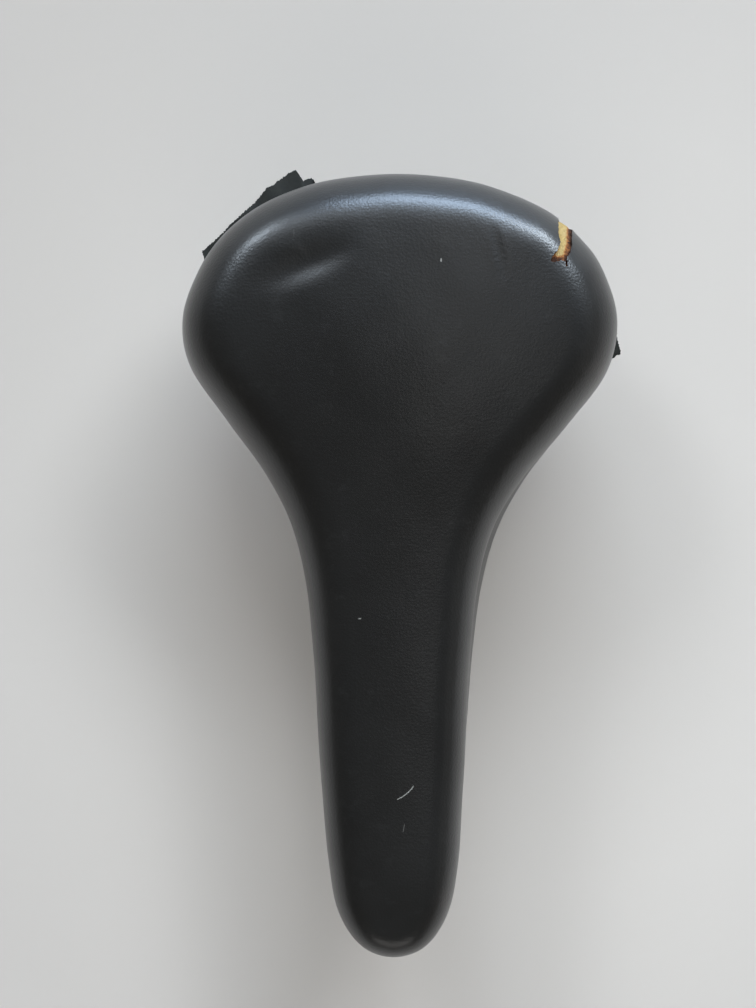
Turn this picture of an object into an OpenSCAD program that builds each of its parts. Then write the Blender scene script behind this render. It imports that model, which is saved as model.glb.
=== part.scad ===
// Bicycle saddle: a foam-padded plastic base under a stretched vinyl cover, on two round steel
// rails, with a two-bolt-face rail clamp and strap that grips a plain 22.2 mm seat post.
// Frame: +Z up, nose towards -Y, rear towards +Y, left and right along X. The origin is on the
// seat post's axis, in the plane of the strap's lower edge. Sizes are in millimetres.

/* [Saddle top] */
// Length from the nose tip to the rear edge
saddle_length = 270; // [260:1:280]
// Width across the wings
saddle_width = 150; // [142:1:158]
// Distance from the seat post's axis back to the rear edge
post_to_rear = 143; // [140:1:148]
// Thickness of the vinyl cover
cover_t = 1.2; // [1:0.1:1.6]
// Thickness of the foam under the rider, at the rear
foam_rear_t = 11; // [9:0.5:12]
// Thickness of the foam along the nose
foam_nose_t = 8; // [6:0.5:9]
// Thickness of the foam down the sides
foam_side_t = 2.5; // [2:0.5:3]
// Wall thickness of the plastic base
base_t = 2.5; // [2.2:0.1:2.8]
// Height of the cover's edge turned up inside the base
hem_h = 7.5; // [6:0.5:7.5]

/* [Rails] */
// Diameter of the rail wire
rail_d = 7; // [7:0.1:7.2]
// Distance between the two rails' centres in the clamped stretch
rail_gauge = 44; // [43:0.5:45]
// Radius of the rails' bends, at the wire's centre
rail_bend_r = 20; // [16:1:24]

/* [Clamp] */
// Diameter of the seat post's top
post_d = 22.2; // [22:0.1:22.2]
// Thickness of the strap round the seat post
strap_t = 3.1; // [2.8:0.1:3.2]
// Height of the strap
strap_h = 30; // [26:1:30]
// Distance from the seat post's axis back to the stud's axis
post_to_stud = 21; // [20:0.5:22]
// Length of a rail cheek along the rail
cheek_l = 38; // [34:1:38]
// Height of a rail cheek
cheek_h = 34; // [34:0.5:36]
// Height of a rail's centre above the stud's axis
rail_over_stud = 11.5; // [11:0.1:11.8]
// Diameter of the stud
stud_d = 8; // [8:0.1:8.2]

/* [Hidden] */

fit_gap = 0.1;       // between layers that lie on each other
slide_gap = 0.3;     // between pieces that move past each other
$fn = 48;

vinyl = [0.13, 0.13, 0.14];
foam_yellow = [0.82, 0.72, 0.46];
base_black = [0.10, 0.10, 0.11];
rail_chrome = [0.72, 0.73, 0.75];
zinc = [0.62, 0.63, 0.64];

// ---- Curves -------------------------------------------------------------------------------

// Half of the plan outline, from the rear edge round the wing to the nose tip:
// [half width, distance from the rear edge], for a saddle 150 wide and 270 long.
OUTLINE = [
    [0, 0], [19, 1.3], [35, 5.1], [49.5, 11.8], [62, 22], [70.5, 35.4],
    [75, 51.5], [71.8, 68.5], [58.9, 87], [45.2, 105], [35.6, 123],
    [30.2, 143], [27.4, 166], [25.8, 190], [24.2, 214], [22.4, 237],
    [19.2, 254.5], [11.4, 266.2], [0, 270],
];
OUTLINE_STEPS = 2;   // stretches between two outline points

// Shape values at every 30 mm from the rear edge to the nose tip.
TOP_Z = [80.5, 83.5, 84.7, 82.6, 79.2, 76.8, 75.8, 75.6, 75.2, 73.5]; // centre line of the top
EDGE_Z = [41, 39, 38, 40.5, 44, 45, 44.5, 44, 44.5, 46.5];      // lower edge of the sides
CROWN = [1.2, 1.2, 1.2, 1.5, 2.2, 3, 3.2, 3.2, 3.2, 3.2] / 1000; // drop over the square of x
SHOULDER_W = [22, 21, 20, 22, 18, 14.5, 13.5, 13, 12.5, 12.5];  // width of the rounded edge
SHOULDER_H = [28.5, 27, 27, 26, 22, 19.5, 19, 19, 19.5, 20.5];  // height of the rounded edge
SHOULDER_POWER = 0.85;  // 1 gives a round edge, less gives a squarer one
SHAPE_STEP = 30;
SPINE_REAR = 60;     // distance from the rear edge to the rear end of the spine line
SPINE_NOSE = 249;    // and to its nose end
SPINE_SHARE = 0.12;  // share of the way from the spine to the edge where the top's middle strip ends

function catmull(a, b, c, d, t) =
    (2 * b + (c - a) * t + (2 * a - 5 * b + 4 * c - d) * t * t
     + (3 * b - a - 3 * c + d) * t * t * t) / 2;
function mirrored(p) = [-p[0], p[1]];
function outline_point(i) =
    i < 0 ? mirrored(OUTLINE[-i])
    : i >= len(OUTLINE) ? mirrored(OUTLINE[2 * len(OUTLINE) - 2 - i])
    : OUTLINE[i];
// The right half of the outline as smooth points, in [half width, distance from the rear].
half_outline = [
    for (i = [0:len(OUTLINE) - 2], s = [0:OUTLINE_STEPS - 1])
        catmull(outline_point(i - 1), outline_point(i), outline_point(i + 1),
                outline_point(i + 2), s / OUTLINE_STEPS),
    OUTLINE[len(OUTLINE) - 1],
];
half_n = len(half_outline) - 1;
ring_n = 2 * half_n;

// A value of one of the shape lists at distance d from the rear edge.
function shape_value(list, d) =
    let (u = max(0, min(len(list) - 1.001, d / SHAPE_STEP)), i = floor(u), last = len(list) - 1)
    catmull(list[max(i - 1, 0)], list[i], list[i + 1], list[min(i + 2, last)], u - i);

function foam_top_t(d) =
    let (t = max(0, min(1, (d - 70) / 90)), s = t * t * (3 - 2 * t))
    foam_rear_t + (foam_nose_t - foam_rear_t) * s;

// ---- Layers -------------------------------------------------------------------------------
// A layer is [inset at the sides, drop at the top, share of the foam above it (0 or 1)].

function layer_inset(layer) = layer[0];
function layer_drop(layer, d) = layer[1] + layer[2] * foam_top_t(d);

OUTSIDE = [0, 0, 0];
COVER_INSIDE = [cover_t, cover_t, 0];
FOAM_OUTSIDE = [cover_t + fit_gap, cover_t + fit_gap, 0];
FOAM_INSIDE = [cover_t + foam_side_t, cover_t, 1];
BASE_OUTSIDE = [cover_t + foam_side_t + fit_gap, cover_t + fit_gap, 1];
BASE_INSIDE = [cover_t + foam_side_t + base_t, cover_t + base_t, 1];
HEM_OUTSIDE = cover_t + foam_side_t + base_t + fit_gap; // inset of the hem's face on the base
HEM_INSIDE = HEM_OUTSIDE + cover_t;

// Ring point j as [outline point, unit direction to the spine, distance to the spine], with the
// outline point in [x, distance from the rear].
function rim_frame(j) =
    let (right = j <= half_n, h = half_outline[right ? j : ring_n - j],
         s = [0, max(SPINE_REAR, min(SPINE_NOSE, h[1]))], v = s - h, length = norm(v),
         side = right ? 1 : -1)
    [[side * h[0], h[1]], [side * v[0], v[1]] / length, length];
rim_frames = [for (j = [0:ring_n - 1]) rim_frame(j)];

scale_x = saddle_width / 150;
scale_y = saddle_length / 270;
function placed(p, z) = [p[0] * scale_x, post_to_rear - p[1] * scale_y, z];

// Shoulder of a layer at rim frame f: [width, height].
function shoulder(layer, f) =
    let (d = f[0][1], extra = layer_drop(layer, d) - layer_inset(layer))
    [max(5, shape_value(SHOULDER_W, d) - layer_inset(layer) - extra / 2),
     max(1, shape_value(SHOULDER_H, d) - layer_drop(layer, d))];
function top_height(layer, p, rim_d) =
    shape_value(TOP_Z, p[1]) - shape_value(CROWN, p[1]) * p[0] * p[0] - layer_drop(layer, rim_d);

// A point of the top: 'turn' is 0 where the shoulder starts and 90 at the rim.
function shoulder_point(layer, f, turn) =
    let (w = shoulder(layer, f), in = w[0] * (1 - pow(sin(turn), SHOULDER_POWER)),
         down = w[1] * (1 - pow(cos(turn), SHOULDER_POWER)),
         p = f[0] + f[1] * (layer_inset(layer) + in))
    placed(p, top_height(layer, p, f[0][1]) - down);
// 'share' is 0 at the middle strip's edge and 1 where the shoulder starts.
function middle_point(layer, f, share) =
    let (w = shoulder(layer, f), from_rim = layer_inset(layer) + w[0],
         inner = f[2] * (1 - SPINE_SHARE), u = inner + (from_rim - inner) * share,
         p = f[0] + f[1] * u)
    placed(p, top_height(layer, p, f[0][1]));
// A point at a given inset on the sides, 'up' above the side's lower edge.
function side_point(inset, f, up) =
    placed(f[0] + f[1] * inset, shape_value(EDGE_Z, f[0][1]) + up);
function rim_height(f) = shoulder_point(OUTSIDE, f, 90)[2] - shape_value(EDGE_Z, f[0][1]);

MIDDLE_SHARES = [0, 0.35, 0.7];
SHOULDER_TURNS = [0, 18, 36, 54, 72, 90];
COARSE_SHARES = [0];
COARSE_TURNS = [0, 30, 60, 90];
function top_rings(layer, shares = MIDDLE_SHARES, turns = SHOULDER_TURNS) = [
    for (s = shares) [for (f = rim_frames) middle_point(layer, f, s)],
    for (t = turns) [for (f = rim_frames) shoulder_point(layer, f, t)],
];
function side_ring(inset, up) = [for (f = rim_frames) side_point(inset, f, up)];
function backwards(list) = [for (i = [len(list) - 1:-1:0]) list[i]];

// ---- A closed body from rings: the first and last ring are closed across the centre line -----

function ring_index(r, j) = r * ring_n + j % ring_n;
function strip_faces(r, flip) = [
    for (i = [0:half_n - 1])
        let (a = ring_index(r, i), b = ring_index(r, i + 1),
             c = ring_index(r, ring_n - i - 1), d = ring_index(r, ring_n - i))
        each [
            if (b != c) flip ? [c, b, a] : [a, b, c],
            if (a != d) flip ? [d, c, a] : [a, c, d],
        ],
];
function loft_faces(count) = [
    for (r = [0:count - 2], j = [0:ring_n - 1])
        let (a = ring_index(r, j), b = ring_index(r, j + 1),
             c = ring_index(r + 1, j + 1), d = ring_index(r + 1, j))
        each [[c, b, a], [d, c, a]],
    each strip_faces(0, false),
    each strip_faces(count - 1, true),
];
module ring_body(rings)
    polyhedron([for (r = rings) each r], loft_faces(len(rings)), convexity = 6);

// ---- Cover, foam and base -----------------------------------------------------------------

module cover() color(vinyl)
    ring_body([
        each top_rings(OUTSIDE),
        side_ring(0, cover_t * 1.5),
        side_ring(cover_t, 0),
        side_ring(HEM_INSIDE - cover_t / 2, 0),
        side_ring(HEM_INSIDE, cover_t),
        side_ring(HEM_INSIDE, hem_h),
        side_ring(HEM_OUTSIDE, hem_h),
        side_ring(HEM_OUTSIDE, cover_t),
        side_ring(cover_t, cover_t),
        each backwards(top_rings(COVER_INSIDE)),
    ]);

LAYER_FLOOR = cover_t + fit_gap;     // lower edge of the foam and the base, over the hem's fold
module foam_pad() color(foam_yellow)
    ring_body([
        each top_rings(FOAM_OUTSIDE),
        side_ring(layer_inset(FOAM_OUTSIDE), LAYER_FLOOR),
        side_ring(layer_inset(FOAM_INSIDE), LAYER_FLOOR),
        each backwards(top_rings(FOAM_INSIDE)),
    ]);

// The space inside the base and the inner part of its wall, which trims the ribs and bosses.
CORE_BITE = 1.2;     // how far the ribs and bosses reach into the wall
BASE_CORE = [BASE_INSIDE[0] - CORE_BITE, BASE_INSIDE[1] - CORE_BITE, 1];
module base_core()
    ring_body([
        each top_rings(BASE_CORE, COARSE_SHARES, COARSE_TURNS),
        side_ring(layer_inset(BASE_CORE), hem_h),
    ]);

RIB_W = 2;
RIB_H = 4;
RIB_VOID = [BASE_INSIDE[0] + RIB_H, BASE_INSIDE[1] + RIB_H, 1];
BOSS_Z = 58;         // lower face of the bosses that the sockets are screwed to
RIB_TOP = 90;
RIB_PLACES = [-65, -42, -18, 8, 34, 58, 80];
module rib_void()
    ring_body([
        each top_rings(RIB_VOID, COARSE_SHARES, COARSE_TURNS),
        side_ring(layer_inset(RIB_VOID), -hem_h),
    ]);
module rib(a, b)
    hull() for (p = [a, b]) translate(p) cylinder(d = RIB_W, h = RIB_TOP, $fn = 12);

NOSE_BLOCK_Y = [-100, -85];          // the nose socket's ends
NOSE_BLOCK_HALF = [12.2, 14.6];      // its half width at those ends
NOSE_BLOCK_H = 16;
REAR_SOCKET = [34, 99];              // middle of a rear socket's flange
REAR_FLANGE = [29, 21, 3];
REAR_SCREW_X = 10;                   // screw positions either side of the flange's middle
SCREW_D = 4;
SCREW_L = 7;                         // length of a screw inside the base
SCREW_HEAD_D = 7;
SCREW_HEAD_H = 2.4;

module base_shell() color(base_black)
    difference() {
        union() {
            ring_body([
                each top_rings(BASE_OUTSIDE),
                side_ring(layer_inset(BASE_OUTSIDE), LAYER_FLOOR),
                side_ring(layer_inset(BASE_INSIDE), LAYER_FLOOR),
                each backwards(top_rings(BASE_INSIDE, COARSE_SHARES, COARSE_TURNS)),
            ]);
            intersection() {
                base_core();
                union() {
                    difference() {
                        union() {
                            for (side = [-1, 1]) {
                                rib([side * 8, -82], [side * 14, 112]);
                                rib([side * 34, 112], [side * 22, 30]);
                            }
                            for (y = RIB_PLACES) rib([-60, y], [60, y]);
                        }
                        rib_void();
                    }
                    for (side = [-1, 1])
                        translate([side * REAR_SOCKET[0] - REAR_FLANGE[0] / 2,
                                   REAR_SOCKET[1] - REAR_FLANGE[1] / 2, BOSS_Z])
                            cube([REAR_FLANGE[0], REAR_FLANGE[1], RIB_TOP - BOSS_Z]);
                    nose_block_outline(BOSS_Z, RIB_TOP - BOSS_Z);
                }
            }
        }
        for (side = [-1, 1], x = [-1, 1] * REAR_SCREW_X)
            translate([side * REAR_SOCKET[0] + x, REAR_SOCKET[1], BOSS_Z - 1])
                cylinder(d = SCREW_D + 0.4, h = SCREW_L + 1.3, $fn = 24);
        translate([0, nose_screw_y, BOSS_Z - 1])
            cylinder(d = SCREW_D + 0.4, h = SCREW_L + 1.3, $fn = 24);
    }

module nose_block_outline(z, h)
    translate([0, 0, z]) linear_extrude(h)
        polygon([
            [-NOSE_BLOCK_HALF[0], NOSE_BLOCK_Y[0]], [NOSE_BLOCK_HALF[0], NOSE_BLOCK_Y[0]],
            [NOSE_BLOCK_HALF[1], NOSE_BLOCK_Y[1]], [-NOSE_BLOCK_HALF[1], NOSE_BLOCK_Y[1]],
        ]);

// Staples lie on the flat stretches of the hem between two ring points.
STAPLE_T = 0.6;
STAPLE_W = 1;
STAPLE_MARGIN = 0.5;
STAPLE_PLACES = [2, 5, 8, 10, 13, 15, 18, 21, 24, 27, 30, 32];
module staple(j)
    let (a = side_point(HEM_INSIDE + fit_gap, rim_frames[j], hem_h * 0.55),
         b = side_point(HEM_INSIDE + fit_gap, rim_frames[j + 1], hem_h * 0.55),
         run = [b[0] - a[0], b[1] - a[1]], m = (a + b) / 2)
    translate(m) rotate([0, 0, atan2(run[1], run[0])])
        translate([-norm(run) / 2 + STAPLE_MARGIN, -STAPLE_T, -STAPLE_W / 2])
            cube([norm(run) - 2 * STAPLE_MARGIN, STAPLE_T, STAPLE_W]);
module cover_staples() color(zinc)
    for (side = [0, 1]) mirror([side, 0, 0]) for (j = STAPLE_PLACES) staple(j);

// ---- Rails and their sockets --------------------------------------------------------------

stud_z = strap_h / 2;
rail_z = stud_z + rail_over_stud;
rail_x = rail_gauge / 2;
RAIL_STRAIGHT = [-21, 63];           // where the two bends' corners are
BEND_SWELL = 0.01;                   // the wire is this much thicker, in radius, round a bend
BEND_BITE = 0.3;                     // how far a straight stretch runs on inside a bend
RAIL_NOSE_END = [7.6, -98, 50];
RAIL_REAR_END = [34, 106, 49];
nose_screw_y = (NOSE_BLOCK_Y[0] + NOSE_BLOCK_Y[1]) / 2;
rail_points = [
    RAIL_NOSE_END, [rail_x, RAIL_STRAIGHT[0], rail_z], [rail_x, RAIL_STRAIGHT[1], rail_z],
    RAIL_REAR_END,
];

function unit(v) = v / norm(v);
function sign_x(p, side) = [side * p[0], p[1], p[2]];
module along(p, v)
    translate(p) rotate([0, acos(unit(v)[2]), atan2(v[1], v[0])]) children();
module rod(a, b, d) along(a, b - a) cylinder(d = d, h = norm(b - a));
module bend(corner, u, w, r, d)
    let (turn = acos(u * w), n = unit(w - (w * u) * u), k = cross(u, n),
         c = corner - u * r * tan(turn / 2) + n * r)
    multmatrix([
        [-n[0], u[0], k[0], c[0]], [-n[1], u[1], k[1], c[1]], [-n[2], u[2], k[2], c[2]],
        [0, 0, 0, 1],
    ])
        rotate_extrude(angle = turn) translate([r, 0]) circle(d = d);
module rail(side)
    let (p = [for (q = rail_points) sign_x(q, side)],
         u = [for (i = [0:2]) unit(p[i + 1] - p[i])],
         cut = [0, for (i = [1:2]) rail_bend_r * tan(acos(u[i - 1] * u[i]) / 2), 0])
    {
        for (i = [0:2]) rod(p[i] + u[i] * (cut[i] - (i > 0 ? BEND_BITE : 0)),
                            p[i + 1] - u[i] * (cut[i + 1] - (i < 2 ? BEND_BITE : 0)), rail_d);
        for (i = [1:2]) bend(p[i], u[i - 1], u[i], rail_bend_r, rail_d + 2 * BEND_SWELL);
    }
module rail_left() color(rail_chrome) rail(-1);
module rail_right() color(rail_chrome) rail(1);

// The hole for a rail's end: 'inner' is the corner the end comes from.
module rail_end_hole(tip, inner)
    rod(tip + unit(tip - inner) * fit_gap, tip + unit(inner - tip) * 60, rail_d + 2 * fit_gap);

module nose_socket() color(base_black)
    difference() {
        nose_block_outline(BOSS_Z - NOSE_BLOCK_H, NOSE_BLOCK_H);
        for (side = [-1, 1])
            rail_end_hole(sign_x(rail_points[0], side), sign_x(rail_points[1], side));
        translate([0, nose_screw_y, 0]) cylinder(d = SCREW_D + 0.2, h = RIB_TOP);
    }

SOCKET_D = 12.4;
SOCKET_L = 17;
module rear_socket(side)
    let (tip = sign_x(rail_points[3], side), inner = sign_x(rail_points[2], side),
         back = unit(inner - tip), flange_z = BOSS_Z - REAR_FLANGE[2],
         x = side * REAR_SOCKET[0], y = REAR_SOCKET[1])
    difference() {
        union() {
            translate([x - REAR_FLANGE[0] / 2, y - REAR_FLANGE[1] / 2, flange_z])
                cube(REAR_FLANGE);
            rod(tip - back * 2, tip + back * SOCKET_L, SOCKET_D);
            translate([x - SOCKET_D / 2 + 1, y - 6, tip[2] - 2])
                cube([SOCKET_D - 2, 13, flange_z - tip[2] + 3]);
        }
        rail_end_hole(tip, inner);
        for (s = [-1, 1] * REAR_SCREW_X)
            translate([x + s, y, 0]) cylinder(d = SCREW_D + 0.2, h = RIB_TOP);
    }
module rear_socket_left() color(base_black) rear_socket(-1);
module rear_socket_right() color(base_black) rear_socket(1);

// A pan-head screw pointing up, with a cross slot; its head bears at height z.
module pan_screw(x, y, z, reach)
    translate([x, y, z]) {
        cylinder(d = SCREW_D, h = reach);
        difference() {
            translate([0, 0, -SCREW_HEAD_H]) cylinder(d1 = SCREW_HEAD_D - 1.6, d2 = SCREW_HEAD_D, h = SCREW_HEAD_H);
            for (a = [0, 90]) rotate([0, 0, a])
                translate([-2, -0.4, -SCREW_HEAD_H - 1]) cube([4, 0.8, 2.3]);
        }
    }
module nose_socket_screw() color(zinc)
    pan_screw(0, nose_screw_y, BOSS_Z - NOSE_BLOCK_H, NOSE_BLOCK_H + SCREW_L);
module rear_screws(side)
    for (x = [-1, 1] * REAR_SCREW_X)
        pan_screw(side * REAR_SOCKET[0] + x, REAR_SOCKET[1], BOSS_Z - REAR_FLANGE[2],
                  REAR_FLANGE[2] + SCREW_L);
module rear_screws_left() color(zinc) rear_screws(-1);
module rear_screws_right() color(zinc) rear_screws(1);

// ---- Rail clamp ---------------------------------------------------------------------------

TOOTH_N = 20;
TOOTH_H = 0.5;
TOOTH_W = 0.9;
TOOTH_R = [5.6, 10.2];
CHEEK_SPLIT = 1;                     // gap between the inner and outer cheek of a rail
strap_face = post_d / 2 + strap_t;   // outer face of the strap's ears
cheek_face = strap_face + 2 * TOOTH_H + slide_gap;
OUTER_CHEEK_T = 5.5;
outer_face = rail_x + CHEEK_SPLIT / 2 + OUTER_CHEEK_T;
WASHER_T = 1.6;
WASHER_D = 16;
NUT_H = 6.5;
NUT_FLATS = 13;
STUD_REACH = 1;                      // thread left outside each nut
EAR_R = 11;

// Puts a drawing made in the plane of Y and Z, with its thickness along X from 'x'.
module upright(x)
    translate([x, 0, 0]) rotate([90, 0, 90]) children();
module stud_hole(d)
    translate([-100, post_to_stud, stud_z]) rotate([0, 90, 0]) cylinder(d = d, h = 200);
// Radial teeth standing 'TOOTH_H' off the plane at x, towards +X or -X.
module teeth(x, way)
    for (i = [0:TOOTH_N - 1])
        translate([x + (way > 0 ? -0.2 : -TOOTH_H), post_to_stud, stud_z])
            rotate([i * 360 / TOOTH_N, 0, 0])
                translate([0, -TOOTH_W / 2, TOOTH_R[0]])
                    cube([TOOTH_H + 0.2, TOOTH_W, TOOTH_R[1] - TOOTH_R[0]]);

module post_strap() color(zinc)
    difference() {
        union() {
            intersection() {
                linear_extrude(strap_h) difference() {
                    union() {
                        circle(r = strap_face, $fn = 96);
                        translate([-strap_face, 0]) square([2 * strap_face, 60]);
                    }
                    circle(d = post_d, $fn = 96);
                    translate([-post_d / 2, 0]) square([post_d, 70]);
                }
                upright(-50) linear_extrude(100) hull() {
                    translate([-strap_face - 1, 0]) square([strap_face + 8, strap_h]);
                    translate([post_to_stud, stud_z]) circle(r = EAR_R);
                }
            }
            teeth(strap_face, 1);
            teeth(-strap_face, -1);
        }
        stud_hole(stud_d + 2 * slide_gap);
    }

CHEEK_CORNER = 7;
module cheek_outline()
    for (s = [[0, 1], [1, 0]])
        translate([-cheek_l / 2 + s[0] * CHEEK_CORNER, -cheek_h / 2 + s[1] * CHEEK_CORNER])
            square([cheek_l - 2 * s[0] * CHEEK_CORNER, cheek_h - 2 * s[1] * CHEEK_CORNER]);
module cheek_plate(x, t)
    upright(x) translate([post_to_stud, stud_z]) linear_extrude(t) {
        cheek_outline();
        for (y = [-1, 1] * (cheek_l / 2 - CHEEK_CORNER), z = [-1, 1] * (cheek_h / 2 - CHEEK_CORNER))
            translate([y, z]) circle(r = CHEEK_CORNER);
    }
module rail_grooves(side)
    for (z = [-1, 1] * rail_over_stud)
        translate([side * rail_x, -100, stud_z + z]) rotate([-90, 0, 0])
            cylinder(d = rail_d + 2 * slide_gap, h = 300);
module inner_cheek(side)
    difference() {
        union() {
            cheek_plate(side > 0 ? cheek_face : -rail_x + CHEEK_SPLIT / 2,
                        rail_x - CHEEK_SPLIT / 2 - cheek_face);
            teeth(side * cheek_face, -side);
        }
        rail_grooves(side);
        stud_hole(stud_d + 0.3);
    }
module outer_cheek(side)
    difference() {
        cheek_plate(side > 0 ? rail_x + CHEEK_SPLIT / 2 : -outer_face, OUTER_CHEEK_T);
        rail_grooves(side);
        stud_hole(stud_d + 0.3);
    }
module inner_cheek_left() color(zinc) inner_cheek(-1);
module inner_cheek_right() color(zinc) inner_cheek(1);
module outer_cheek_left() color(zinc) outer_cheek(-1);
module outer_cheek_right() color(zinc) outer_cheek(1);

stud_half = outer_face + WASHER_T + NUT_H + STUD_REACH;
module on_stud(x, way)
    translate([x, post_to_stud, stud_z]) rotate([0, way * 90, 0]) children();
module clamp_stud() color(zinc)
    on_stud(-stud_half, 1) {
        cylinder(d1 = stud_d - 1.6, d2 = stud_d, h = 0.8);
        translate([0, 0, 0.8]) cylinder(d = stud_d, h = 2 * stud_half - 1.6);
        translate([0, 0, 2 * stud_half - 0.8]) cylinder(d1 = stud_d, d2 = stud_d - 1.6, h = 0.8);
    }
module washer(side)
    on_stud(side * outer_face, side) difference() {
        cylinder(d = WASHER_D, h = WASHER_T);
        translate([0, 0, -1]) cylinder(d = stud_d + 0.3, h = WASHER_T + 2);
    }
module washer_left() color(zinc) washer(-1);
module washer_right() color(zinc) washer(1);
module nut(side)
    on_stud(side * (outer_face + WASHER_T), side) difference() {
        intersection() {
            cylinder(d = NUT_FLATS / cos(30), h = NUT_H, $fn = 6);
            union() {
                cylinder(d1 = NUT_FLATS, d2 = NUT_FLATS + 3, h = 0.9);
                translate([0, 0, 0.9]) cylinder(d = NUT_FLATS + 3, h = NUT_H - 1.8);
                translate([0, 0, NUT_H - 0.9])
                    cylinder(d1 = NUT_FLATS + 3, d2 = NUT_FLATS, h = 0.9);
            }
        }
        translate([0, 0, -1]) cylinder(d = stud_d + 2 * fit_gap, h = NUT_H + 2);
    }
module nut_left() color(zinc) nut(-1);
module nut_right() color(zinc) nut(1);

cover();
foam_pad();
base_shell();
cover_staples();
nose_socket();
nose_socket_screw();
rear_socket_left();
rear_socket_right();
rear_screws_left();
rear_screws_right();
rail_left();
rail_right();
post_strap();
inner_cheek_left();
inner_cheek_right();
outer_cheek_left();
outer_cheek_right();
clamp_stud();
washer_left();
washer_right();
nut_left();
nut_right();
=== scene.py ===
import math

import bmesh
import bpy
import numpy as np
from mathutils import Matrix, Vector


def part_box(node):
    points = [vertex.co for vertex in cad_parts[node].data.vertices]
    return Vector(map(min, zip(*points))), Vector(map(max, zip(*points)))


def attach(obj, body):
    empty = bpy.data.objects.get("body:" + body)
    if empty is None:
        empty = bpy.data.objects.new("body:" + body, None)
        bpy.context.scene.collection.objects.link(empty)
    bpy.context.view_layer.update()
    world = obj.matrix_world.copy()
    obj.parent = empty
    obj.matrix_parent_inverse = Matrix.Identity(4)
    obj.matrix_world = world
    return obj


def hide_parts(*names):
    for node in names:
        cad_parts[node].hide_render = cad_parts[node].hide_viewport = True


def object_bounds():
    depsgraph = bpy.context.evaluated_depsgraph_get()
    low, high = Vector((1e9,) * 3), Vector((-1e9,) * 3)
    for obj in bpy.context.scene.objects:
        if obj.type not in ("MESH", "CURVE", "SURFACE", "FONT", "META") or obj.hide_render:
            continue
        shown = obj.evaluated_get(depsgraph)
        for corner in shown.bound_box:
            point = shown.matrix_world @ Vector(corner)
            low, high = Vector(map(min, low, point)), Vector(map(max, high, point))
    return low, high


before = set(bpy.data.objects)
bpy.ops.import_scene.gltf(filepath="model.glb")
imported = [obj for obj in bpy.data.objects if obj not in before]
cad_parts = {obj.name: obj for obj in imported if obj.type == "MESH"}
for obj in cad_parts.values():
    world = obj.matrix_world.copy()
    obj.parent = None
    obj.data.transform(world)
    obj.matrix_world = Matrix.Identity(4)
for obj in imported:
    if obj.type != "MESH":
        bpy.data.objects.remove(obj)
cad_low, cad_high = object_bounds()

MM = 0.001
RNG = np.random.default_rng(7)
SCENE = bpy.context.scene

# ---- The saddle's shape, in mm: x to the right, d forward from the rear edge, z up ----------

DRAWN_WIDTH, DRAWN_LENGTH = 150.0, 270.0
# Half of the outline, from the middle of the rear edge round the right side to the nose tip
OUTLINE = np.array([
    [0, 0], [19, 1.3], [35, 5.1], [49.5, 11.8], [62, 22], [70.5, 35.4],
    [75, 51.5], [71.8, 68.5], [58.9, 87], [45.2, 105], [35.6, 123],
    [30.2, 143], [27.4, 166], [25.8, 190], [24.2, 214], [22.4, 237],
    [19.2, 254.5], [11.4, 266.2], [0, 270],
], float)
# One value every SHAPE_STEP mm from the rear edge to the nose tip: the height of the middle of the
# top, the height of the lower edge, the top's curve across, the shoulder's width and its height
SHAPE_STEP = 30.0
TOP_Z = [80.5, 83.5, 84.7, 82.6, 79.2, 76.8, 75.8, 75.6, 75.2, 73.5]
EDGE_Z = [41, 39, 38, 40.5, 44, 45, 44.5, 44, 44.5, 46.5]
CROWN = [0.0012, 0.0012, 0.0012, 0.0015, 0.0022, 0.003, 0.0032, 0.0032, 0.0032, 0.0032]
SHOULDER_W = [22, 21, 20, 22, 18, 14.5, 13.5, 13, 12.5, 12.5]
SHOULDER_H = [28.5, 27, 27, 26, 22, 19.5, 19, 19, 19.5, 20.5]
# How far the worn cover stands out sideways from the CAD outline, right and left, at the same steps
RIGHT_OUT = [-0.8, 0.9, 0.3, -0.9, -2.6, -1.8, -1.1, -0.3, 0.4, 0.3]
LEFT_OUT = [-0.7, -0.6, 0, -0.4, 0.3, 0.8, 0.8, 0.4, -0.2, -0.4]
SHOULDER_POWER = 0.85                # below 1 the shoulder is squarer than an ellipse
SPINE_REAR, SPINE_NOSE = 60.0, 249.0  # ends of the middle line that every layer closes on
COVER_T = 1.2
FOAM_REAR_T, FOAM_NOSE_T, FOAM_SIDE_T = 11.0, 8.0, 2.5
BASE_T = 2.5
FIT_GAP = 0.1
HEM_INSET = COVER_T + FOAM_SIDE_T + BASE_T + FIT_GAP + COVER_T
HEM_H = 7.5
FOLD_R = 1.7                         # radius of the cover's turn round the lower edge

# Where the saddle is, from the frame, in mm
cover_low, cover_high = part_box("cover")
REAR_Y = cover_high.y / MM
SCALE_X = (cover_high.x - cover_low.x) / MM / DRAWN_WIDTH
SCALE_Y = (cover_high.y - cover_low.y) / MM / DRAWN_LENGTH

# ---- Helpers for shape -------------------------------------------------------------------------


def catmull(a, b, c, d, t):
    """A Catmull-Rom curve's point between b and c."""
    return (2 * b + (c - a) * t + (2 * a - 5 * b + 4 * c - d) * t ** 2
            + (3 * b - a - 3 * c + d) * t ** 3) / 2


def shape_value(values, d):
    """A shape list's value at distance d from the rear edge; d may be an array."""
    values = np.asarray(values, float)
    last = len(values) - 1
    u = np.clip(np.asarray(d, float) / SHAPE_STEP, 0, last - 0.001)
    i = np.floor(u).astype(int)
    return catmull(values[np.maximum(i - 1, 0)], values[i], values[i + 1],
                   values[np.minimum(i + 2, last)], u - i)


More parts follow.
